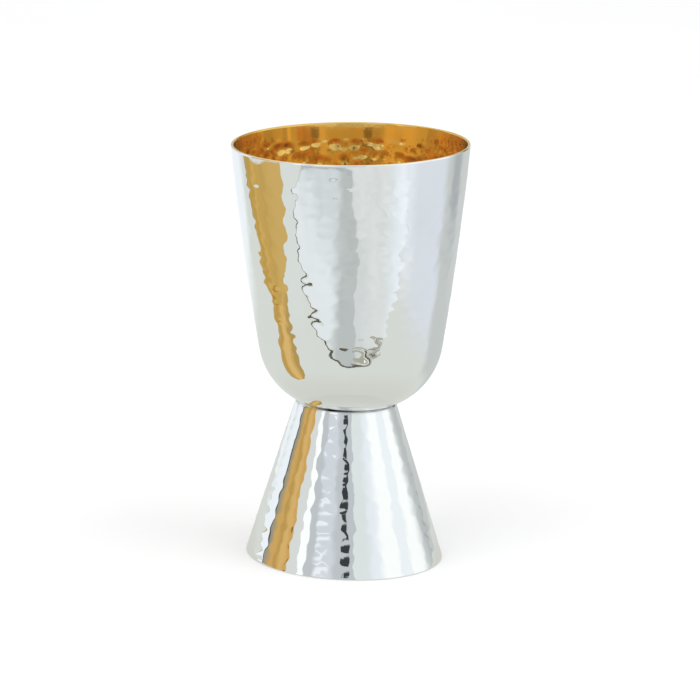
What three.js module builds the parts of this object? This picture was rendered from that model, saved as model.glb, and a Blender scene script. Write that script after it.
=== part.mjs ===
// A hammered silver communion cup, gilt inside: a deep bowl soldered on a hollow cone-shaped foot.
// Millimetres, +Z up. The origin is on the table, under the middle of the cup.
// Both pieces are one thickness of sheet, turned about their own axes. The hammer's marks are
// flats, so each facet of a hammered surface is one mark, and each ring of marks is turned half
// a mark past the ring below it.
import * as THREE from 'three';

// Driving dimensions, in millimetres and degrees
const HEIGHT = 140;
const WALL = 1.0;

// The bowl's outside, from the middle of its underside to its rim: three arcs, each tangent to
// the next. An end is the angle from level at which the outline runs there.
const DISH_RADIUS = 43.45;
const DISH_END = 20;
const CORNER_RADIUS = 24.2;
const CORNER_END = 80.67;
const SIDE_RADIUS = 1066;
const SIDE_END = 84.36;

// The foot: its radius on the table, its side's angle from upright, and the rounded shoulder
// where its top turns inwards to a seat for the bowl
const FOOT_RADIUS = 33.08;
const FOOT_SLOPE = 17.19;
const SHOULDER_RADIUS = 1.3;
const SEAT_RADIUS = 13;
const SOLDER_GAP = 0.3;

// Made by hand, the cup is not quite upright: the foot's middle leans over its level base, and
// the bowl leans about the middle of the seam, straight above the middle of the base
const FOOT_LEAN = 1.71;
const SEAM_HEIGHT = 54;
const BOWL_LEAN = 2.4;

// The hammer's marks, about 5 mm across: how many there are round each piece, and the rings of
// marks on the bowl's side and corner and on the foot
const BOWL_MARKS = 50;
const FOOT_MARKS = 42;
const SIDE_RINGS = 15;
const CORNER_RINGS = 6;
const FOOT_RINGS = 12;
const DISH_RINGS = 4;
const ROUND_STEPS = 6;

const SILVER = new THREE.Color(0xd8dbdc);
const GILT = new THREE.Color(0xc98a2b);
const POLISH = { roughness: 0.08, metalness: 1 };

const radians = THREE.MathUtils.degToRad;
const dishEnd = radians(DISH_END);
const cornerEnd = radians(CORNER_END);
const sideEnd = radians(SIDE_END);
const slope = radians(FOOT_SLOPE);

// The point of a circle at which its outline runs at an angle from level, anticlockwise
function onCircle(centre, radius, angle) {
  return new THREE.Vector2(Math.sin(angle), -Math.cos(angle)).multiplyScalar(radius).add(centre);
}

// The points of an arc between two such angles, without its first point
function arc(centre, radius, from, to, steps) {
  const points = [];
  for (let step = 1; step <= steps; step++) {
    points.push(onCircle(centre, radius, THREE.MathUtils.lerp(from, to, step / steps)));
  }
  return points;
}

// The centre of an arc that is tangent to another one at an angle from level
function tangentCentre(centre, radius, nextRadius, angle) {
  return onCircle(centre, radius - nextRadius, angle);
}

// The bowl's three arcs, with their centres set so that the rim's rounded edge tops out at HEIGHT
function bowlCentres() {
  const dish = new THREE.Vector2(0, 0);
  const corner = tangentCentre(dish, DISH_RADIUS, CORNER_RADIUS, dishEnd);
  const side = tangentCentre(corner, CORNER_RADIUS, SIDE_RADIUS, cornerEnd);
  const rim = onCircle(side, SIDE_RADIUS - WALL / 2, sideEnd);
  const lift = HEIGHT - WALL / 2 - rim.y;
  for (const centre of [dish, corner, side, rim]) {
    centre.y += lift;
  }
  return { dish, corner, side, rim };
}

// The bowl's outline: up its outside, over the rim and down its inside, from axis to axis
function bowlOutline(centres) {
  const { dish, corner, side, rim } = centres;
  const inside = (radius) => radius - WALL;
  return [
    onCircle(dish, DISH_RADIUS, 0),
    ...arc(dish, DISH_RADIUS, 0, dishEnd, DISH_RINGS),
    ...arc(corner, CORNER_RADIUS, dishEnd, cornerEnd, CORNER_RINGS),
    ...arc(side, SIDE_RADIUS, cornerEnd, sideEnd, SIDE_RINGS),
    ...arc(rim, WALL / 2, sideEnd, sideEnd + Math.PI, ROUND_STEPS),
    ...arc(side, inside(SIDE_RADIUS), sideEnd, cornerEnd, SIDE_RINGS),
    ...arc(corner, inside(CORNER_RADIUS), cornerEnd, dishEnd, CORNER_RINGS),
    ...arc(dish, inside(DISH_RADIUS), dishEnd, 0, DISH_RINGS),
  ];
}

// The middle of the foot's shoulder: as far inside the cone's side as below the bowl's seat
function shoulderCentre(dish, seat) {
  const start = new THREE.Vector3(FOOT_RADIUS - SHOULDER_RADIUS / Math.cos(slope), 0, 0);
  const upTheSide = new THREE.Vector3(-Math.sin(slope), Math.cos(slope), 0);
  const around = new THREE.Sphere(new THREE.Vector3(dish.x, dish.y, 0), seat + SHOULDER_RADIUS);
  const met = new THREE.Ray(start, upTheSide).intersectSphere(around, new THREE.Vector3());
  return new THREE.Vector2(met.x, met.y);
}

// The foot's outline: up the cone, round the shoulder, in along the seat, and back down inside
function footOutline(dish) {
  const seat = DISH_RADIUS + SOLDER_GAP;
  const shoulder = shoulderCentre(dish, seat);
  const sideAngle = Math.PI / 2 + slope;
  const seatAngle = Math.PI + Math.atan2(shoulder.x, dish.y - shoulder.y);
  const lipAngle = Math.asin(SEAT_RADIUS / seat);
  const base = new THREE.Vector2(FOOT_RADIUS, 0);
  const sideTop = onCircle(shoulder, SHOULDER_RADIUS, sideAngle);
  const outline = [base];
  for (let ring = 1; ring <= FOOT_RINGS; ring++) {
    outline.push(base.clone().lerp(sideTop, ring / FOOT_RINGS));
  }
  outline.push(
    ...arc(shoulder, SHOULDER_RADIUS, sideAngle, seatAngle, ROUND_STEPS),
    onCircle(dish, seat, lipAngle),
    onCircle(dish, seat + WALL, lipAngle),
    onCircle(shoulder, SHOULDER_RADIUS - WALL, seatAngle),
    onCircle(shoulder, SHOULDER_RADIUS - WALL, sideAngle),
    new THREE.Vector2(FOOT_RADIUS - WALL / Math.cos(slope), 0),
    base.clone(),
  );
  return outline;
}

// Turns an outline about its axis, with a facet for each mark. Its rings are turned half a mark
// further with each ring, as far as the last hammered one.
function hammered(outline, marks, lastRing) {
  const geometry = new THREE.LatheGeometry(outline, marks);
  const position = geometry.getAttribute('position');
  const up = new THREE.Vector3(0, 1, 0);
  const point = new THREE.Vector3();
  for (let vertex = 0; vertex < position.count; vertex++) {
    const ring = Math.min(vertex % outline.length, lastRing);
    point.fromBufferAttribute(position, vertex).applyAxisAngle(up, (ring * Math.PI) / marks);
    position.setXYZ(vertex, point.x, point.y, point.z);
  }
  geometry.rotateX(Math.PI / 2);
  geometry.computeVertexNormals();
  return geometry;
}

// Colours each ring of a turned piece: silver, and gilt past the top of the rim
function plate(geometry, rings, firstGilt) {
  const count = geometry.getAttribute('position').count;
  const colours = new Float32Array(3 * count);
  for (let vertex = 0; vertex < count; vertex++) {
    const colour = vertex % rings >= firstGilt ? GILT : SILVER;
    colour.toArray(colours, 3 * vertex);
  }
  geometry.setAttribute('color', new THREE.BufferAttribute(colours, 3));
}

function makeBowl(centres) {
  const outline = bowlOutline(centres);
  const rimTop = DISH_RINGS + CORNER_RINGS + SIDE_RINGS + ROUND_STEPS / 2;
  const geometry = hammered(outline, BOWL_MARKS, outline.length);
  plate(geometry, outline.length, rimTop + 1);
  const bowl = new THREE.Mesh(
    geometry,
    new THREE.MeshStandardMaterial({ ...POLISH, vertexColors: true }),
  );
  bowl.name = 'bowl';
  bowl.position.z = -SEAM_HEIGHT;
  return bowl;
}

// The foot leans as a pile of level rings does, so that it still stands flat
function makeFoot(centres) {
  const geometry = hammered(footOutline(centres.dish), FOOT_MARKS, FOOT_RINGS);
  const sideways = -Math.tan(radians(FOOT_LEAN));
  geometry.applyMatrix4(new THREE.Matrix4().makeShear(0, 0, 0, 0, sideways, 0));
  const foot = new THREE.Mesh(
    geometry,
    new THREE.MeshStandardMaterial({ ...POLISH, color: SILVER }),
  );
  foot.name = 'foot';
  return foot;
}

// The cup
const centres = bowlCentres();
const seam = new THREE.Group();
seam.position.set(0, 0, SEAM_HEIGHT);
seam.rotation.y = -radians(BOWL_LEAN);
seam.add(makeBowl(centres));

const cup = new THREE.Group();
cup.add(makeFoot(centres), seam);
cup.position.x = -new THREE.Box3().setFromObject(cup, true).getCenter(new THREE.Vector3()).x;

export default cup;
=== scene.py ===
"""The looks of a hammered silver communion cup, gilt inside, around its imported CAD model.

Everything is in metres, +Z up, in the model's own frame. Both pieces are one thickness of sheet
turned about its axis, and every hammer mark is real relief in their meshes. Silver this bright
shows little but its surroundings, so the studio's lit sheets matter as much as the metal: they
are seen in the reflections alone, and stand where the photo's reflections put them.
"""

import math

import bpy
import numpy as np
from mathutils import Matrix, Vector


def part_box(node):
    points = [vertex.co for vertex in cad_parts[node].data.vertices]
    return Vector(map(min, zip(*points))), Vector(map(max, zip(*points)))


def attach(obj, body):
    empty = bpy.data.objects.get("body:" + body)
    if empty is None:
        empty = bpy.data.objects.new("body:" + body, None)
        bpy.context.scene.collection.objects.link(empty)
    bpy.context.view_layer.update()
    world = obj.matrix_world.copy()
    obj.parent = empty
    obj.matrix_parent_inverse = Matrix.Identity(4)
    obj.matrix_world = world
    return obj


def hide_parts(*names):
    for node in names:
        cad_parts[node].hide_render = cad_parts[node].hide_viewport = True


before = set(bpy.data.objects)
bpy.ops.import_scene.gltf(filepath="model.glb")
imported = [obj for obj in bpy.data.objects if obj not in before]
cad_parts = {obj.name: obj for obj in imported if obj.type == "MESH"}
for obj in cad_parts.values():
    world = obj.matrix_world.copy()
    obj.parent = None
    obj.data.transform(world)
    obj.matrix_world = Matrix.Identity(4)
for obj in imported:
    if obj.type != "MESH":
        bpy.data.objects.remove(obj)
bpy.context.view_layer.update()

MM = 0.001

# The sheet and the bowl's outside: three arcs, each tangent to the next, and each end given as
# the angle from level at which the outline runs there
HEIGHT = 140 * MM
WALL = 1.0 * MM
DISH_RADIUS = 43.45 * MM
DISH_END = math.radians(20)
CORNER_RADIUS = 24.2 * MM
CORNER_END = math.radians(80.67)
SIDE_RADIUS = 1066 * MM
SIDE_END = math.radians(84.36)

# The foot's cone, the rounded shoulder at its top, and the bead of solder above the shoulder
FOOT_RADIUS = 33.08 * MM
FOOT_SLOPE = math.radians(17.19)
SHOULDER_RADIUS = 1.3 * MM
SHOULDER_HEIGHT = 52.3 * MM
BEAD_RADIUS = 0.6 * MM
SEAT_RADIUS = 13 * MM
EDGE_RADIUS = 0.3 * MM

# Made by hand, the cup is not quite upright: the foot's middle leans over its level base, and
# the bowl leans about the middle of the seam, straight above the middle of the base
FOOT_LEAN = math.radians(1.71)
SEAM_HEIGHT = 54 * MM
BOWL_LEAN = math.radians(2.4)

# The hammer's marks on each surface: how wide and how high one is, and its depth. Inside the
# bowl they lie apart on smooth land, whose height is given as a share of their depth.
OUTER_MARK = (4.2 * MM, 3.2 * MM, 0.022 * MM)
INNER_MARK = (4.0 * MM, 4.0 * MM, 0.26 * MM)
FOOT_MARK = (4.2 * MM, 3.4 * MM, 0.028 * MM)
INNER_LAND = 0.62
NO_LAND = 10.0

# The rim's round edge: its rows of faces, and the row on it where the gilding starts
RIM_ROWS = 10
FIRST_GILT_ROW = 3

# The specks in the gilding, painted dark reflections: how many there are, where they lie below the
# rim, and about how far from the axis
SPECKS = 140
SPECKS_HIGH = 6 * MM
SPECKS_LOW = 24 * MM
SPECKS_RADIUS = 39 * MM

# The seam's black is partly tarnish and partly painted shade in its crease
# The black in the seam: on the bowl, how far from the middle of its underside it reaches and
# where it has faded, and on the foot, how far below the shoulder's end its line lies
BLACK_REACH = 17.0 * MM
BLACK_FADED = 18.3 * MM
BLACK_DROP = 0.45 * MM

# The middle of the base
foot_low, foot_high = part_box("foot")
FOOT_X = (foot_low.x + foot_high.x) / 2

# Columns of faces round each piece
BOWL_COLUMNS = 368
FOOT_COLUMNS = 400

# The studio: where the table ends in front of the cup, how far its walls are and how high they
# stand, and the height in the foot from which their climbs are measured
FRONT_EDGE = 146 * MM
STUDIO = 1.4
CEILING = 1.5
MIRROR_HEIGHT = 0.03

# What share of the light silver throws back, and tones as they show in it, on a screen's scale
SILVER_SHARE = 0.93
PALE = (219, 225, 226)
PALE_BLUE = (236, 243, 248)
WHITE = (251, 254, 254)

# The clouds in the front sheet: their size in millimetres, and how many tones deep they are
CLOUD_SIZE = 75
CLOUD_DEPTH = 3.2

# The colour of tarnish and of painted shade, and those of the floor, as shares of light
TARNISH_AND_SHADE = (0.035, 0.028, 0.02)
FLOOR_DARK = (0.84, 0.84, 0.84)
FLOOR_PALE = (0.86, 0.86, 0.86)
FLOOR_REACH = 6.0


def on_circle(centre, radius, angle):
    """The point where a circle's outline runs at an angle from level."""
    return np.asarray(centre) + radius * np.stack([np.sin(angle), -np.cos(angle)], axis=-1)


def arc(centre, radius, start, end, steps):
    """Points of an arc between two such angles, without its first one."""
    return on_circle(centre, radius, np.linspace(start, end, steps + 1)[1:])


def line(start, end, steps):
    """Evenly spaced points of a straight stretch, without its first one."""
    share = np.linspace(0, 1, steps + 1)[1:, None]
    return np.asarray(start) * (1 - share) + np.asarray(end) * share


def bowl_centres():
    """Middles of the bowl's arcs and of its rim's round edge, which tops out at HEIGHT."""
    dish = np.array([0.0, 0.0])
    corner = on_circle(dish, DISH_RADIUS - CORNER_RADIUS, DISH_END)
    side = on_circle(corner, CORNER_RADIUS - SIDE_RADIUS, CORNER_END)
    rim = on_circle(side, SIDE_RADIUS - WALL / 2, SIDE_END)
    lift = np.array([0.0, HEIGHT - WALL / 2 - rim[1]])
    return dish + lift, corner + lift, side + lift, rim + lift


def frame_of(points, closed):
    """Each outline point's distance along the outline, and its normal, out of the metal."""
    step = np.diff(points, axis=0)
    along = np.concatenate([[0.0], np.cumsum(np.hypot(*step.T))])
    if closed:
        step = np.vstack([step, points[:1] - points[-1:]])
        tangent = step + np.roll(step, 1, axis=0)
    else:
        tangent = np.vstack([step[:1], step[1:] + step[:-1], step[-1:]])
    tangent /= np.linalg.norm(tangent, axis=1)[:, None]
    return along, np.stack([tangent[:, 1], -tangent[:, 0]], axis=1)


def fade(value, start, end):
    """Smoothly from 0 at start to 1 at end."""
    share = np.clip((value - start) / (end - start), 0, 1)
    return share * share * (3 - 2 * share)


def hammering(points, along, first, last, columns, mark_size, land, seed):
    """Heights of a hammered stretch of an outline: round-bottomed marks in staggered rings, whose
    ridges were softened by polishing. Marks overlap, unless smooth land lies between them, at a
    height given as a share of their depth. Rows outside the stretch stay at zero."""
    rng = np.random.default_rng(seed)
    across, down, relief = mark_size
    jitter = 0.22
    uneven = 0.3 * relief
    ridge = 0.16 * relief
    reach = 2.2 * down
    rings = round((last - first) / down)
    place, angle, depth, curve = [], [], [], []
    for ring in range(-1, rings + 2):
        middle = first + (last - first) * ring / rings
        radius = np.interp(middle, along, points[:, 0])
        count = round(2 * math.pi * radius / across)
        turn = (np.arange(count) + rng.uniform()) / count
        place.append(middle + rng.normal(0, jitter * down, count))
        angle.append(2 * math.pi * turn + rng.normal(0, jitter * across / radius, count))
        depth.append(rng.normal(0, uneven, count))
        curve.append(relief * rng.uniform(0.8, 1.2, count))
    place, angle, depth, curve = (np.concatenate(v) for v in (place, angle, depth, curve))
    column = 2 * math.pi * np.arange(columns) / columns
    heights = np.zeros((len(points), columns))
    rows = np.nonzero((along > first - down) & (along < last + down))[0]
    for row in rows:
        near = np.abs(place - along[row]) < reach
        turn = column[:, None] - angle[None, near]
        turn = (turn + math.pi) % (2 * math.pi) - math.pi
        sideways = turn * points[row, 0] / (across / 2)
        endways = (along[row] - place[near]) / (down / 2)
        square = sideways ** 2 + endways ** 2
        mark = curve[near] * square - depth[near]
        mark = np.hstack([mark, np.full((columns, 1), land * relief)])
        lowest = mark.min(axis=1, keepdims=True)
        blend = np.exp((lowest - mark) / ridge).sum(axis=1)
        heights[row] = lowest[:, 0] - ridge * np.log(blend)
    heights[rows] -= heights[rows].mean()
    return heights


def sheet_waves(points, along, columns, size, seed):
    """The unevenness that raising leaves in a sheet: a few long crossing waves, and lumps about
    twice as wide as a hammer mark."""
    rng = np.random.default_rng(seed)
    column = 2 * math.pi * np.arange(columns)[None, :] / columns
    heights = np.zeros((len(points), columns))
    for lobes, length, share in ((9, 30, 1.0), (24, 9, 0.45)):
        for _ in range(8):
            turns = round(lobes * rng.uniform(0.6, 1.4))
            wave = length * rng.uniform(0.7, 1.4) * MM
            phase, start = rng.uniform(0, 2 * math.pi, 2)
            down = np.sin(2 * math.pi * along[:, None] / wave + start)
            heights += share * np.sin(turns * column + phase) * down
    return heights * size / 3


def turned(name, points, normals, relief, marks, columns, materials, first_inner):
    """A closed mesh turned about the axis, with its relief along the outline's normals. Rows on
    the axis become one point each. Faces from the row first_inner on take the second material.
    The marks are values of the points, by name, that the materials read."""
    angle = 2 * math.pi * np.arange(columns) / columns
    radial = points[:, :1] + normals[:, :1] * relief
    height = points[:, 1:] + normals[:, 1:] * relief
    on_axis = points[:, 0] < 1e-9
    vertices, kept, start = [], [], []
    total = 0
    for row, point in enumerate(points):
        start.append(total)
        out = radial[row]
        spots = np.stack([out * np.cos(angle), out * np.sin(angle), height[row]], axis=1)
        if on_axis[row]:
            spots = np.array([[0.0, 0.0, point[1]]])
        vertices.append(spots)
        kept.append(row * columns + np.arange(len(spots)))
        total += len(spots)
    faces, slots = [], []
    here = np.arange(columns)
    after = (here + 1) % columns
    rows = len(points)
    for row in range(rows - 1 if on_axis[0] else rows):
        upper = (row + 1) % rows
        a, b = start[row], start[upper]
        if on_axis[row]:
            ring = [(a, b + i, b + j) for j, i in zip(here, after)]
        elif on_axis[upper]:
            ring = [(a + i, a + j, b) for i, j in zip(here, after)]
        else:
            ring = [(a + i, a + j, b + j, b + i) for i, j in zip(here, after)]
        faces.extend(tuple(map(int, face)) for face in ring)
        slots.extend([int(row >= first_inner)] * len(ring))
    mesh = bpy.data.meshes.new(name)
    mesh.from_pydata(np.concatenate(vertices).tolist(), [], faces)
    for material in materials:
        mesh.materials.append(material)
    mesh.polygons.foreach_set("material_index", slots)
    mesh.polygons.foreach_set("use_smooth", [True] * len(faces))
    kept = np.concatenate(kept)
    for mark, values in marks.items():
        attribute = mesh.attributes.new(mark, "FLOAT", "POINT")
        attribute.data.foreach_set("value", values.ravel()[kept].astype(np.float32))
    mesh.validate()
    mesh.update()
    piece = bpy.data.objects.new(name, mesh)
    bpy.context.scene.collection.objects.link(piece)
    return piece


def add_node(tree, kind, values=None, **settings):
    """A shader node with its settings and input values."""
    node = tree.nodes.new(kind)
    for key, value in settings.items():
        setattr(node, key, value)
    for key, value in (values or {}).items():
        node.inputs[key].default_value = value
    return node


def noise(tree, scale, detail=3.0, stretch=(1, 1, 1)):
    """Noise in the object's own coordinates, in features per metre, drawn out along an axis."""
    coordinates = add_node(tree, "ShaderNodeTexCoord")
    mapping = add_node(tree, "ShaderNodeMapping", {"Scale": stretch})
    texture = add_node(tree, "ShaderNodeTexNoise", {"Scale": scale, "Detail": detail})
    tree.links.new(coordinates.outputs["Object"], mapping.inputs["Vector"])
    tree.links.new(mapping.outputs["Vector"], texture.inputs["Vector"])
    return texture.outputs["Fac"]


def spread(tree, source, low_in, high_in, low_out, high_out):
    """A value moved smoothly from one range to another."""
    node = add_node(tree, "ShaderNodeMapRange", interpolation_type="SMOOTHSTEP")
    limits = {"From Min": low_in, "From Max": high_in, "To Min": low_out, "To Max": high_out}
    for key, value in limits.items():
        node.inputs[key].default_value = value
    tree.links.new(source, node.inputs["Value"])
    return node.outputs["Result"]


def mixed(tree, share, first, second):
    """Two colours mixed by a share. Each is a colour or another node's output."""
    node = add_node(tree, "ShaderNodeMix", data_type="RGBA")
    tree.links.new(share, node.inputs["Factor"])
    for key, colour in (("A", first), ("B", second)):
        socket = [s for s in node.inputs if s.name == key and s.type == "RGBA"][0]
        if isinstance(colour, tuple):
            socket.default_value = (*colour, 1)
        else:
            tree.links.new(colour, socket)
    return [s for s in node.outputs if s.type == "RGBA"][0]


def added(tree, first, second, operation="ADD"):
    """Two values put together by a sum or another operation."""
    node = add_node(tree, "ShaderNodeMath", operation=operation)
    tree.links.new(first, node.inputs[0])
    if isinstance(second, float):
        node.inputs[1].default_value = second
    else:
        tree.links.new(second, node.inputs[1])
    return node.outputs["Value"]


def metal(name, bright, dull, gloss, worn, bump, purity):
    """Polished metal: bright with duller patches and hollows, black where it is tarnished and where
    shade is painted, a haze of wear in its gloss, and the polishing wheel's fine lines round it."""
    material = bpy.data.materials.new(name)
    material.use_nodes = True
    tree = material.node_tree
    shader = tree.nodes["Principled BSDF"]
    shader.inputs["Metallic"].default_value = purity
    hollow = add_node(tree, "ShaderNodeAttribute", attribute_name="hollow").outputs["Fac"]
    tarnish_and_shade = add_node(tree, "ShaderNodeAttribute", attribute_name="tarnish_and_shade").outputs["Fac"]
    patches = spread(tree, noise(tree, 45, 4), 0.35, 0.75, 0.0, 0.7)
    shade = added(tree, patches, spread(tree, hollow, 0.0, 1.0, 0.0, 0.3))
    clean = mixed(tree, shade, bright, dull)
    # Tarnish and painted shade both darken the base colour toward black here
    tree.links.new(mixed(tree, tarnish_and_shade, clean, TARNISH_AND_SHADE), shader.inputs["Base Color"])
    haze = spread(tree, noise(tree, 160, 5), 0.3, 0.8, gloss, worn)
    smears = spread(tree, noise(tree, 70, 3, (1, 1, 0.25)), 0.45, 0.7, 0.0, (worn - gloss) / 2)
    black = spread(tree, tarnish_and_shade, 0.0, 1.0, 0.0, 0.3)
    tree.links.new(added(tree, added(tree, haze, smears), black), shader.inputs["Roughness"])
    ripple = noise(tree, 520, 2)
    lines = noise(tree, 60, 3, (1, 1, 60))
    height = added(tree, ripple, added(tree, lines, 0.12, "MULTIPLY"))
    relief = add_node(tree, "ShaderNodeBump", {"Strength": 1.0, "Distance": bump})
    tree.links.new(height, relief.inputs["Height"])
    tree.links.new(relief.outputs["Normal"], shader.inputs["Normal"])
    return material


def silver_plate():
    """Silver with a bright finish: a mirror, with a faint haze of wear."""
    bright, dull = (0.935, 0.94, 0.935), (0.91, 0.915, 0.905)
    return metal(
        "silver_plate", bright, dull, gloss=0.015, worn=0.04, bump=0.004 * MM, purity=1.0
    )


def gilding():
    """Gold is thin here and a little matt, so that it also scatters some light."""
    bright, dull = (0.85, 0.55, 0.155), (0.72, 0.43, 0.10)
    return metal("gilding", bright, dull, gloss=0.03, worn=0.08, bump=0.008 * MM, purity=0.87)


def bowl_outline():
    """The bowl's outline from axis to axis, and the rows where its stretches end. A row close to
    each side of the rim's round edge keeps its gloss off the sides. The top of the inside, which
    the photo shows, has finer rows than the rest of it."""
    dish, corner, side, rim = bowl_centres()
    near_rim = SIDE_END - 0.15 * MM / SIDE_RADIUS
    inner_side = SIDE_RADIUS - WALL
    seen_end = SIDE_END - 22 * MM / SIDE_RADIUS
    stretches = [
        ("dish", arc(dish, DISH_RADIUS, 0, DISH_END, 6)),
        ("corner", arc(corner, CORNER_RADIUS, DISH_END, CORNER_END, 30)),
        ("side", arc(side, SIDE_RADIUS, CORNER_END, near_rim, 104)),
        ("outer edge", arc(side, SIDE_RADIUS, near_rim, SIDE_END, 1)),
        ("rim", arc(rim, WALL / 2, SIDE_END, SIDE_END + math.pi, RIM_ROWS)),
        ("inner edge", arc(side, inner_side, SIDE_END, near_rim, 1)),
        ("inner top", arc(side, inner_side, near_rim, seen_end, 48)),
        ("inner side", arc(side, inner_side, seen_end, CORNER_END, 32)),
        ("inner corner", arc(corner, CORNER_RADIUS - WALL, CORNER_END, DISH_END, 24)),
        ("inner dish", arc(dish, DISH_RADIUS - WALL, DISH_END, 0, 12)),
    ]
    points = np.vstack([on_circle(dish, DISH_RADIUS, 0.0)[None], *(p for _, p in stretches)])
    ends, row = {}, 0
    for name, stretch in stretches:
        row += len(stretch)
        ends[name] = row
    points[[0, -1], 0] = 0.0
    return points, ends


def specks(along, start, end, columns, seed):
    """How dark the scattered specks are at each point between two places along the outline."""
    # Each speck is a painted dark reflection laid on the gilding's colour
    rng = np.random.default_rng(seed)
    column = 2 * math.pi * np.arange(columns)[None, :] / columns
    shares = np.zeros((len(along), columns))
    for _ in range(SPECKS):
        place = rng.uniform(start, end)
        turn = rng.uniform(0, 2 * math.pi)
        size = rng.uniform(0.25, 0.55) * MM
        black = rng.uniform(0.3, 0.9)
        sideways = np.abs(column - turn) * SPECKS_RADIUS
        square = (sideways / (1.6 * size)) ** 2 + ((along[:, None] - place) / size) ** 2
        shares = np.maximum(shares, black * np.exp(-square))
    return shares


def seam_black(columns):
    """How black the seam is at each column, blackest left of the middle of the photo's side."""
    # The seam's black is partly tarnish and partly painted shade in its crease
    rng = np.random.default_rng(31)
    column = 2 * math.pi * np.arange(columns)[None, :] / columns
    share = np.full((1, columns), 0.42)
    for turns in (2, 3, 5, 9, 14, 23):
        share += 0.05 * np.sin(turns * column + rng.uniform(0, 2 * math.pi))
    share += 0.5 * np.exp(-((column - math.radians(254)) / 0.16) ** 2)
    share *= 0.3 + 0.7 * fade(column, math.radians(222), math.radians(240))
    return np.clip(share, 0, 1)


def bowl_relief(points, along, ends):
    """Hammer marks outside, from the corner to a smooth band under the rim, and inside, below a
    wider band, with the sheet's unevenness on the side. The underside is smooth."""
    side_start, rim_start = along[ends["corner"]], along[ends["outer edge"]]
    rim_end, inner_corner = along[ends["rim"]], along[ends["inner side"]]
    outside = hammering(
        points, along, side_start - 4 * MM, rim_start, BOWL_COLUMNS, OUTER_MARK, NO_LAND, 11
    )
    outside *= fade(along, side_start - 2 * MM, side_start + 7 * MM)[:, None]
    outside *= fade(along, rim_start - 3.5 * MM, rim_start - 6 * MM)[:, None]
    inside = hammering(
        points, along, rim_end - 1 * MM, inner_corner + 8 * MM, BOWL_COLUMNS,
        INNER_MARK, INNER_LAND, 12,
    )
    inside *= fade(along, rim_end + 4.5 * MM, rim_end + 6.5 * MM)[:, None]
    inside *= fade(along, inner_corner + 12 * MM, inner_corner)[:, None]
    on_side = fade(along, side_start - 6 * MM, side_start + 6 * MM)
    below_rim = fade(along, rim_start - 2 * MM, rim_start - 12 * MM)
    upper = 0.8 + 0.7 * fade(along, rim_start - 50 * MM, rim_start - 20 * MM)
    strength = (on_side * below_rim * upper)[:, None]
    waves = sheet_waves(points, along, BOWL_COLUMNS, 0.05 * MM, 13) * strength
    return outside + inside + waves


def make_bowl(silver, gilt):
    """The bowl: silver outside and gilt inside, with painted dark specks of reflection in the
    gilding, and black where it meets the foot, partly tarnish and partly painted shade."""
    points, ends = bowl_outline()
    along, normals = frame_of(points, closed=False)
    relief = bowl_relief(points, along, ends)
    rim_end = along[ends["rim"]]
    # Specks of painted dark reflection in the gilding
    tarnish_and_shade = specks(along, rim_end + SPECKS_HIGH, rim_end + SPECKS_LOW, BOWL_COLUMNS, 14)
    # The seam's black: partly tarnish, partly painted shade in the crease
    tarnish_and_shade += fade(along, BLACK_FADED, BLACK_REACH)[:, None] * seam_black(BOWL_COLUMNS)
    marks = {"hollow": fade(-relief, 0.0, 0.06 * MM), "tarnish_and_shade": tarnish_and_shade}
    bowl = turned(
        "bowl_silver_and_gilt", points, normals, relief, marks, BOWL_COLUMNS,
        [silver, gilt], ends["outer edge"] + FIRST_GILT_ROW,
    )
    lean = Matrix.Rotation(-BOWL_LEAN, 4, "Y")
    seam = Matrix.Translation((FOOT_X, 0, SEAM_HEIGHT))
    bowl.data.transform(seam @ lean @ Matrix.Translation((0, 0, -SEAM_HEIGHT)))
    return bowl


def foot_outline():
    """The foot's closed outline, from its underside's outer edge up, and the rows where its
    stretches end."""
    across = np.array([math.cos(FOOT_SLOPE), math.sin(FOOT_SLOPE)])
    up = np.array([-math.sin(FOOT_SLOPE), math.cos(FOOT_SLOPE)])
    base = np.array([FOOT_RADIUS, 0.0])
    side_angle = math.pi / 2 + FOOT_SLOPE
    top = base + up * SHOULDER_HEIGHT / math.cos(FOOT_SLOPE)
    shoulder = top - across * SHOULDER_RADIUS
    inner_base = base - np.array([WALL / math.cos(FOOT_SLOPE), 0.0])
    inner_top = shoulder - across * (WALL - SHOULDER_RADIUS)
    edge_inset = EDGE_RADIUS * (1 + math.sin(FOOT_SLOPE)) / math.cos(FOOT_SLOPE)
    edge = base + np.array([-edge_inset, EDGE_RADIUS])
    cone_start = on_circle(edge, EDGE_RADIUS, side_angle)
    shoulder_end = on_circle(shoulder, SHOULDER_RADIUS, math.pi)
    bead = shoulder_end + np.array([-0.2 * BEAD_RADIUS, 0.8 * BEAD_RADIUS])
    bead_low, bead_high = math.radians(40), math.radians(200)
    lip = np.array([SEAT_RADIUS, shoulder_end[1] - 0.5 * WALL])
    under_lip = lip - np.array([0, WALL])
    under_shoulder = shoulder + np.array([0, SHOULDER_RADIUS - WALL])
    stretches = [
        ("base", on_circle(edge, EDGE_RADIUS, 0.0)[None]),
        ("edge", arc(edge, EDGE_RADIUS, 0, side_angle, 6)),
        ("cone", line(cone_start, top, 110)),
        ("shoulder", arc(shoulder, SHOULDER_RADIUS, side_angle, math.pi, 10)),
        ("bead", arc(bead, BEAD_RADIUS, bead_low, bead_high, 12)),
        ("seat", line(on_circle(bead, BEAD_RADIUS, bead_high), lip, 4)),
        ("lip", line(lip, under_lip, 2)),
        ("under seat", line(under_lip, under_shoulder, 4)),
        ("inside", line(inner_top, inner_base, 40)),
    ]
    ends, row = {}, -1
    for name, stretch in stretches:
        row += len(stretch)
        ends[name] = row
    return np.vstack([stretch for _, stretch in stretches]), ends


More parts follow.
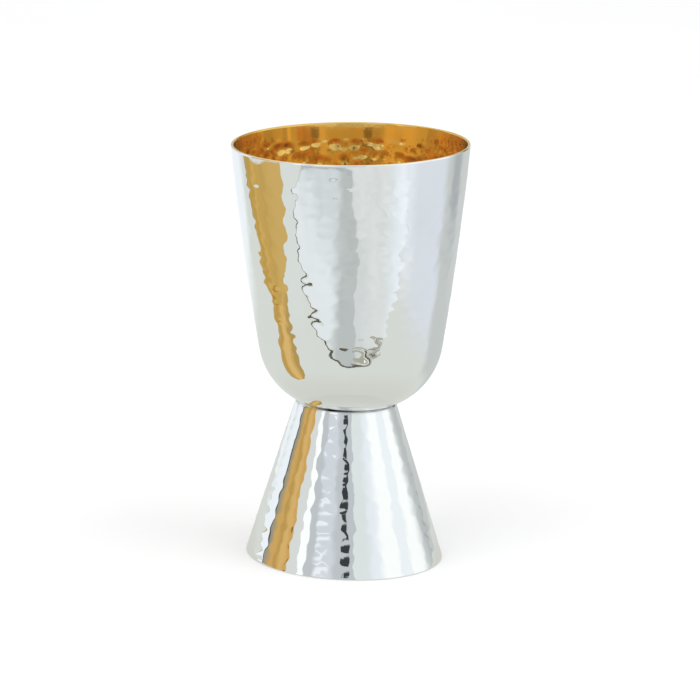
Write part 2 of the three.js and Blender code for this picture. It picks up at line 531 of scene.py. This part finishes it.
def seam_tarnish_and_shade(along, meeting, columns):
    """Black where the shoulder meets the leaning bowl, as a line round the seam."""
    # The line is partly tarnish and partly painted shade in the crease
    column = 2 * math.pi * np.arange(columns)[None, :] / columns
    middle = meeting + 0.6 * MM * np.cos(column)
    distance = np.abs(along[:, None] - middle)
    return seam_black(columns) * (1 - fade(distance, 0.35 * MM, 0.65 * MM))


def make_foot(silver):
    """The foot: an open hammered cone, smooth inside, with its top turned in under the bowl. A
    film of painted shade lies over its shoulder, under the bowl."""
    points, ends = foot_outline()
    along, normals = frame_of(points, closed=True)
    first, last = along[ends["edge"]], along[ends["cone"]]
    relief = hammering(points, along, first, last, FOOT_COLUMNS, FOOT_MARK, NO_LAND, 21)
    relief += sheet_waves(points, along, FOOT_COLUMNS, 0.006 * MM, 22)
    relief *= (fade(along, first, first + 1.5 * MM) * fade(along, last, last - 3 * MM))[:, None]
    # Painted shade over the shoulder, where it lies under the bowl
    shoulder_shade = 0.1 * fade(along, last - 0.5 * MM, last + 0.3 * MM) * (along <= along[ends["bead"]])
    # The seam's line: partly tarnish, partly painted shade in the crease
    black = seam_tarnish_and_shade(along, along[ends["shoulder"]] - BLACK_DROP, FOOT_COLUMNS)
    marks = {
        "hollow": fade(-relief, 0.0, 0.05 * MM),
        "tarnish_and_shade": np.maximum(black, shoulder_shade[:, None]),
    }
    foot = turned(
        "foot_silver", points, normals, relief, marks, FOOT_COLUMNS, [silver], len(points)
    )
    lean = Matrix.Shear("XY", 4, (-math.tan(FOOT_LEAN), 0))
    foot.data.transform(Matrix.Translation((FOOT_X, 0, 0)) @ lean)
    return foot


def linear(display):
    """Display tones from 0 to 255 as light."""
    share = np.asarray(display) / 255
    return np.where(share <= 0.04045, share / 12.92, ((share + 0.055) / 1.055) ** 2.4)


def around(azimuth, distance, height=0.0):
    """Points of the studio at azimuths from the camera's side, to the right of it."""
    a = np.radians(azimuth)
    return np.stack(np.broadcast_arrays(
        FOOT_X + distance * np.sin(a), -distance * np.cos(a), height
    ), axis=-1)


def band(value, start, end, soft_start=0.6, soft_end=0.6):
    """1 from start to end and 0 outside, with sides of these widths."""
    rise = fade(value, start - soft_start / 2, start + soft_start / 2)
    return rise * (1 - fade(value, end - soft_end / 2, end + soft_end / 2))


def plain(tone, shape):
    """One tone at every point of a grid."""
    return np.broadcast_to(np.array(tone, float), (*shape, 3))


def laid(tones, tone, share):
    """A tone laid over others, by a share for each point."""
    return tones + share[..., None] * (np.array(tone) - tones)


def clouds(x, y, size, seed):
    """Soft lighter and darker patches of a size in millimetres, from about -1 to 1."""
    rng = np.random.default_rng(seed)
    waves = 12
    total = np.zeros(np.broadcast(x, y).shape)
    for _ in range(waves):
        turn, phase = rng.uniform(0, 2 * math.pi, 2)
        length = size * rng.uniform(0.7, 1.8)
        total += np.sin(2 * math.pi * (x * math.cos(turn) + y * math.sin(turn)) / length + phase)
    return total / math.sqrt(waves)


def glow():
    """Light of the tone that a studio sheet has at each point."""
    material = bpy.data.materials.new("glow")
    material.use_nodes = True
    tree = material.node_tree
    tree.nodes.clear()
    output = add_node(tree, "ShaderNodeOutputMaterial")
    emission = add_node(tree, "ShaderNodeEmission", {"Strength": 1.0})
    tone = add_node(tree, "ShaderNodeAttribute", attribute_name="tone").outputs["Color"]
    tree.links.new(tone, emission.inputs["Color"])
    tree.links.new(emission.outputs["Emission"], output.inputs["Surface"])
    return material


def sheet(name, points, tones):
    """A lit sheet of the studio, which only reflections show: a grid of points and their tones,
    given as they look in the silver."""
    rows, columns = points.shape[:2]
    corner = np.arange(rows * columns).reshape(rows, columns)
    faces = np.stack([corner[:-1, :-1], corner[:-1, 1:], corner[1:, 1:], corner[1:, :-1]], axis=-1)
    mesh = bpy.data.meshes.new(name)
    mesh.from_pydata(points.reshape(-1, 3).tolist(), [], faces.reshape(-1, 4).tolist())
    light = linear(tones).reshape(-1, 3) / SILVER_SHARE
    colours = np.hstack([light, np.ones((len(light), 1))]).astype(np.float32)
    tone = mesh.color_attributes.new("tone", "FLOAT_COLOR", "POINT")
    tone.data.foreach_set("color", colours.ravel())
    if "glow" not in bpy.data.materials:
        glow()
    mesh.materials.append(bpy.data.materials["glow"])
    plane = bpy.data.objects.new(name, mesh)
    bpy.context.scene.collection.objects.link(plane)
    plane.visible_camera = False
    plane.visible_diffuse = False
    plane.visible_transmission = False
    plane.visible_shadow = False


def table_strip(name, left, right, tone, lift):
    """A strip on the table between two lines of as many points, in millimetres from the middle of
    the cup's base, of one tone or of one for each point."""
    lines = np.array([left, right]) * MM
    points = np.dstack([lines[..., 0] + FOOT_X, lines[..., 1], np.full(lines.shape[:2], lift)])
    sheet(name, points, np.broadcast_to(np.array(tone, float), points.shape))


def wall_tones(azimuth, climb):
    """The walls' tones by azimuth and by climb from the foot's middle, both in degrees: pale, with
    lights at the left and the right, an amber thing with a dark edge on the left, and a dark gap
    behind the camera. Low and high lights put crescents in the foot's marks. Two dark things, one
    beside the amber one and one behind the cup, put dark bands in the gilding."""
    tones = plain(PALE, azimuth.shape)
    for start, end, soft_start, soft_end, tone in (
        (-190, -130, 1, 14, (205, 211, 209)),
        (-128, -107.5, 16, 0.6, (236, 242, 248)),
        (-107.5, -69.5, 0.6, 0.8, (203, 163, 95)),
        (-108.3, -106.3, 0.5, 0.8, (84, 82, 72)),
        (-90, -83, 5, 5, (186, 151, 84)),
        (-82, -75, 5, 4, (212, 175, 108)),
        (-69.5, -55.5, 0.8, 1.0, (213, 217, 216)),
        (-55.5, -47, 1.0, 1.2, WHITE),
        (-47, 14.5, 1.2, 0.8, (188, 194, 198)),
        (-36, -12, 7, 8, (206, 212, 219)),
        (34, 54, 16, 8, (230, 237, 243)),
        (48, 76, 12, 12, WHITE),
        (74, 88, 10, 10, PALE_BLUE),
        (88, 112, 10, 14, WHITE),
        (118, 190, 20, 1, (184, 189, 189)),
        (150, 190, 16, 1, (208, 212, 212)),
    ):
        tones = laid(tones, tone, band(azimuth, start, end, soft_start, soft_end))
    grey = band(azimuth, -106.3, -101, 0.6, 10)
    tones = laid(tones, (150, 147, 132), grey)
    edge = band(azimuth, -72.5, -71, 0.6, 0.6) * (1 - fade(climb, 7.4, 8))
    tones = laid(tones, (110, 84, 44), edge)
    tones = laid(tones, WHITE, band(azimuth, -38, -18, 6, 6) * fade(climb, 20.6, 21.6))
    tones = laid(tones, (238, 241, 243), fade(climb, 32, 44))
    low_light = band(azimuth, -36, -20, 6, 6) * band(climb, 12.9, 15.3, 1.2, 1.4)
    tones = laid(tones, (236, 240, 246), low_light)
    gap_climb = [15.6, 16.4, 17.0, 20.6, 21.2, 22]
    gap_left = np.interp(climb, gap_climb, [2.5, 0.4, -2.4, -3.4, 2.4, 3.4])
    gap = band(azimuth, gap_left, 5.2) * band(climb, gap_climb[0], gap_climb[-1])
    tones = laid(tones, (56, 60, 62), gap)
    for start, end, low, high in ((-116, -100, 9, 15), (138, 154, 4, 26)):
        dark = band(azimuth, start, end, 3, 3) * band(climb, low, high, 2, 3)
        tones = laid(tones, (110, 108, 78), dark)
    return tones


def make_walls():
    """The walls, all that the foot mirrors, and a plain ceiling."""
    azimuth = np.linspace(-180, 180, 1081)[None, :]
    height = np.linspace(0, CEILING, 76)[:, None]
    climb = np.degrees(np.arctan2(height - MIRROR_HEIGHT, STUDIO))
    azimuth, climb = np.broadcast_arrays(azimuth, climb)
    sheet("walls", around(azimuth, STUDIO, height), wall_tones(azimuth, climb))
    azimuth = np.linspace(-180, 180, 73)[None, :]
    distance = np.linspace(0, STUDIO + 0.1, 2)[:, None]
    ceiling = around(azimuth, distance, CEILING)
    sheet("ceiling", ceiling, plain((236, 238, 240), ceiling.shape[:2]))


def make_table():
    """The pale table that the bowl mirrors: greyer close to the foot, its painted shadow, and with
    soft lighter and darker tones from some distance on, given in millimetres, between pairs of
    azimuths."""
    azimuth = np.linspace(-180, 180, 721)[None, :]
    distance = np.geomspace(5 * MM, STUDIO + 0.1, 110)[:, None]
    azimuth, distance = np.broadcast_arrays(azimuth, distance)
    away = distance / MM
    tones = plain((212, 216, 211), azimuth.shape)
    # Painted shadow of the foot: greyer near it, fading out by 120 mm
    tones = laid(tones, (205, 207, 200), 1 - fade(away, 30, 120))
    for start, end, soft_start, soft_end, near, tone in (
        (-190, -131, 1, 14, 230, (236, 242, 246)),
        (-131, -107.5, 6, 1, 420, (236, 242, 248)),
        (-74, -50, 1, 1, 150, (213, 219, 215)),
        (40, 70, 16, 16, 200, (227, 233, 240)),
        (66, 114, 20, 12, 160, (214, 220, 227)),
        (90, 108, 14, 14, 200, (215, 220, 228)),
        (108, 190, 14, 1, 90, (193, 198, 197)),
        (119, 138, 10, 16, 330, (170, 175, 177)),
        (138, 190, 16, 1, 260, (199, 203, 203)),
    ):
        share = band(azimuth, start, end, soft_start, soft_end) * fade(away, near, 1.6 * near)
        tones = laid(tones, tone, share)
    sheet("table", around(azimuth, distance, 0.1 * MM), tones)


def front_grid():
    """Points of the sheet beyond the table's front edge, in millimetres from the middle of the
    cup's base, and each one's share of the way across it."""
    near, far = FRONT_EDGE / MM, 900.0
    left = ([near, 147.1, 150, 186, 262, 300, far], [-126, -204, -220, -258, -262, -300, -700])
    right = ([140, 160, 166, 190, 230, far], [150, 236, 292, 337, 378, 1000])
    fine, coarse = np.linspace(-near, -420, 240), np.linspace(-440, -far, 12)
    y = np.concatenate([fine, coarse])[:, None]
    share = np.linspace(0, 1, 420)[None, :]
    left_x, right_x = np.interp(-y, *left), np.interp(-y, *right)
    return np.broadcast_arrays(left_x + share * (right_x - left_x), y, share)


def make_front():
    """What the bowl mirrors beyond the table's front edge: a pale sheet with a shaded band down
    its middle, faintly cloudy, which ends in a round far off."""
    x, y, share = front_grid()
    azimuth = np.degrees(np.arctan2(x, -y))
    away = np.hypot(x, y)
    reach = np.interp(azimuth, [-46, -4], [366, 377])
    near = 1 - fade(-y, 190, 310)
    tones = plain((207, 213, 215), x.shape)
    tones = laid(tones, (224, 230, 232), near)
    tones = laid(tones, (184, 190, 189), band(x, -52, 300, 44, 1))
    shade_right = np.interp(-y, [146, 165, 200, 250, 300, 378], [16, 16, 22, 34, 24, 14])
    tones = laid(tones, (207, 212, 212), fade(x, shade_right, shade_right + 2))
    tones = laid(tones, (215, 220, 218), fade(x, shade_right + 8, shade_right + 50 * near + 12))
    outline = band(away, reach - 5, reach + 1, 2, 1) * band(azimuth, -60, 1, 1, 3)
    tones = laid(tones, (172, 178, 180), outline)
    tones = laid(tones, (216, 220, 219), fade(away, reach, reach + 2))
    tones = laid(tones, (229, 236, 243), band(azimuth, 42, 80, 22, 1))
    pale_side = band(share, 0.84, 0.95, 0.14, 0.08) * fade(-y, 150, 165)
    tones = laid(tones, (234, 240, 245), pale_side)
    far_side = band(share, 0.98, 1.1, 0.04, 0.1) * fade(-y, 165, 190)
    tones = laid(tones, (226, 232, 239), far_side)
    near_side = band(share, 0.985, 1.1, 0.02, 0.1) * (1 - fade(-y, 160, 180))
    tones = laid(tones, (196, 200, 198), near_side)
    cloudy = CLOUD_DEPTH * fade(-y, 155, 200) * clouds(x, y, CLOUD_SIZE, 41)
    tones = np.clip(tones + cloudy[..., None], 0, 255)
    points = np.dstack([x * MM + FOOT_X, y * MM, np.full(x.shape, 0.3 * MM)])
    sheet("front", points, tones)


def make_front_edge():
    """The table's front edge as a dark line, wide in front of the cup and thin at the sides."""
    edge = np.array([
        (-262, -262), (-260, -225), (-258, -186), (-220, -150), (-170, -141), (-126, -141),
        (-44, -144), (1, -146), (37, -143), (70, -143), (110, -143),
    ], float)
    width = np.array([1.5, 2.0, 3.0, 3.8, 3.8, 4.0, 4.6, 5.2, 4.2, 2.2, 0.9])
    tones = np.array([(150, 150, 146)] * 2 + [(118, 106, 92)] + [(88, 82, 70)] * 8)
    inward = np.stack([-np.gradient(edge[:, 1]), np.gradient(edge[:, 0])], axis=1)
    inward /= np.linalg.norm(inward, axis=1)[:, None]
    table_strip("front_edge", edge, edge + inward * width[:, None], tones, 0.5 * MM)


def make_scrap():
    """A small grey thing with a white spot that lies on the edge, and a soft shade before it."""
    scrap = [(8, -149), (38, -147), (70, -145), (108, -140)]
    scrap_back = [(10, -153), (42, -156), (76, -156), (114, -147)]
    table_strip("scrap", scrap, scrap_back, (168, 166, 152), 0.45 * MM)
    scrap_light = [(44, -149), (62, -148.5), (80, -147)]
    scrap_light_back = [(48, -152), (64, -152), (84, -150.5)]
    table_strip("scrap_light", scrap_light, scrap_light_back, WHITE, 0.55 * MM)
    halo = [(16, -144), (60, -143), (108, -138)]
    halo_front = [(20, -137), (58, -135), (102, -131)]
    halo_tones = [[(146, 146, 134)], [(212, 216, 211)]]
    table_strip("halo", halo, halo_front, halo_tones, 0.35 * MM)


def sampled(points, count):
    """A line through a few points, with the same number of samples from each to the next."""
    step = np.linspace(0, len(points) - 1, count)
    knots = np.arange(len(points))
    places = [np.interp(step, knots, points[:, axis]) for axis in (0, 1)]
    return np.stack(places, axis=1)


def make_amber():
    """The amber thing on the left as the bowl mirrors it: a tapering strip on the table with a
    round end, streaked along its length, with a darker fold across it."""
    left = np.array([
        (-405, 268), (-385, 250), (-353, 203), (-320, 158), (-285, 125), (-249, 85), (-232, 50),
        (-213, 18), (-190, 8), (-159, 4), (-107, 0), (-84, -6), (-72, -18),
    ], float)
    right = np.array([
        (-388, -141), (-371, -138), (-322, -128), (-290, -118), (-258, -102), (-230, -84),
        (-216, -72), (-203, -56), (-178, -60), (-129, -66), (-95, -56), (-78, -46), (-69, -34),
    ], float)
    left, right = sampled(left, 110), sampled(right, 110)
    share = np.linspace(0, 1, 40)[None, :]
    places = left[:, None] * (1 - share[..., None]) + right[:, None] * share[..., None]
    away = np.hypot(places[..., 0], places[..., 1])
    share = np.broadcast_to(share, away.shape)
    near = 1 - fade(away, 185, 225)
    tones = plain((193, 158, 84), away.shape)
    tones = laid(tones, (200, 168, 100), fade(share, 0.4, 0.9))
    tones = laid(tones, (184, 150, 80), band(share, 0.1, 0.24, 0.1, 0.1))
    tones = laid(tones, (206, 170, 100), band(share, 0.3, 0.36, 0.1, 0.1))
    tones = laid(tones, (188, 155, 88), band(share, 0.52, 0.6, 0.08, 0.08))
    tones = laid(tones, (186, 154, 98), near * fade(share, 0.2, 0.0))
    tones = laid(tones, (214, 178, 112), near * band(share, 0.34, 0.66, 0.1, 0.1))
    tones = laid(tones, (176, 146, 86), near * fade(share, 0.72, 0.86))
    fold = band(away, 207, 215, 4, 4) * band(share, 0.15, 0.42, 0.08, 0.1)
    tones = laid(tones, (172, 126, 46), fold)
    tones = laid(tones, (150, 146, 124), fade(share, 0.05, 0.03) * fade(away, 300, 340))
    points = np.dstack([places * MM + np.array([FOOT_X, 0]), np.full(away.shape, 0.4 * MM)])
    sheet("amber", points, tones)


def make_studio():
    """What the silver mirrors. Its sheets stand where the photo's reflections put them, and
    those on the table each lie a little higher than the ones that they cover."""
    make_walls()
    make_table()
    make_front()
    make_front_edge()
    make_scrap()
    make_amber()


def make_floor():
    """A pale floor, and a world of the same tone behind it."""
    mesh = bpy.data.meshes.new("floor")
    sides = ((-1, -1), (1, -1), (1, 1), (-1, 1))
    corners = [(x * FLOOR_REACH, y * FLOOR_REACH, 0) for x, y in sides]
    mesh.from_pydata(corners, [], [(0, 1, 2, 3)])
    floor = bpy.data.objects.new("floor", mesh)
    bpy.context.scene.collection.objects.link(floor)
    material = bpy.data.materials.new("floor")
    material.use_nodes = True
    tree = material.node_tree
    shader = tree.nodes["Principled BSDF"]
    shader.inputs["Roughness"].default_value = 0.9
    shader.inputs["Specular IOR Level"].default_value = 0.0
    tone = spread(tree, noise(tree, 3, 2), 0.3, 0.7, 0.0, 1.0)
    tree.links.new(mixed(tree, tone, FLOOR_DARK, FLOOR_PALE), shader.inputs["Base Color"])
    mesh.materials.append(material)
    floor.visible_glossy = False
    world = bpy.data.worlds.new("studio")
    world.use_nodes = True
    background = world.node_tree.nodes["Background"]
    background.inputs["Color"].default_value = (1, 1, 1, 1)
    background.inputs["Strength"].default_value = 1.0
    bpy.context.scene.world = world


def make_lights():
    """Two large soft lights over the floor."""
    for name, spot, size, power in (
        ("key_light", (-1.2, -1.4, 2.2), 2.0, 20),
        ("fill_light", (1.5, -0.6, 2.4), 2.0, 16),
    ):
        data = bpy.data.lights.new(name, "AREA")
        data.size = size
        data.energy = power
        light = bpy.data.objects.new(name, data)
        bpy.context.scene.collection.objects.link(light)
        light.location = spot
        light.rotation_euler = (-Vector(spot)).to_track_quat("-Z", "Y").to_euler()
        light.visible_glossy = False


def make_camera():
    """The photo's camera: a long lens, looking down at the cup and turned a little in its plane."""
    distance = 1.29
    elevation = math.radians(13.54)
    roll = math.radians(2.44)
    pixels_per_metre = 3006.6
    photo_width = 700
    target = Vector((FOOT_X - 0.92 * MM, 0, 70.04 * MM))
    back = Vector((0, -math.cos(elevation), math.sin(elevation)))
    level = Vector((1, 0, 0))
    up = back.cross(level)
    right = math.cos(roll) * level + math.sin(roll) * up
    top = -math.sin(roll) * level + math.cos(roll) * up
    data = bpy.data.cameras.new("camera")
    data.sensor_width = 36
    data.lens = data.sensor_width * pixels_per_metre * distance / photo_width
    data.clip_start = 0.1
    data.clip_end = 20
    camera = bpy.data.objects.new("camera", data)
    bpy.context.scene.collection.objects.link(camera)
    turn = Matrix((right, top, back)).transposed().to_4x4()
    camera.matrix_world = Matrix.Translation(target + distance * back) @ turn
    bpy.context.scene.camera = camera


make_camera()
silver = silver_plate()
bowl = make_bowl(silver, gilding())
foot = make_foot(silver)
for piece, node in ((bowl, "bowl"), (foot, "foot")):
    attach(piece, "root")
    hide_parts(node)
make_floor()
make_lights()
make_studio()
bpy.context.scene.view_settings.view_transform = "Standard"
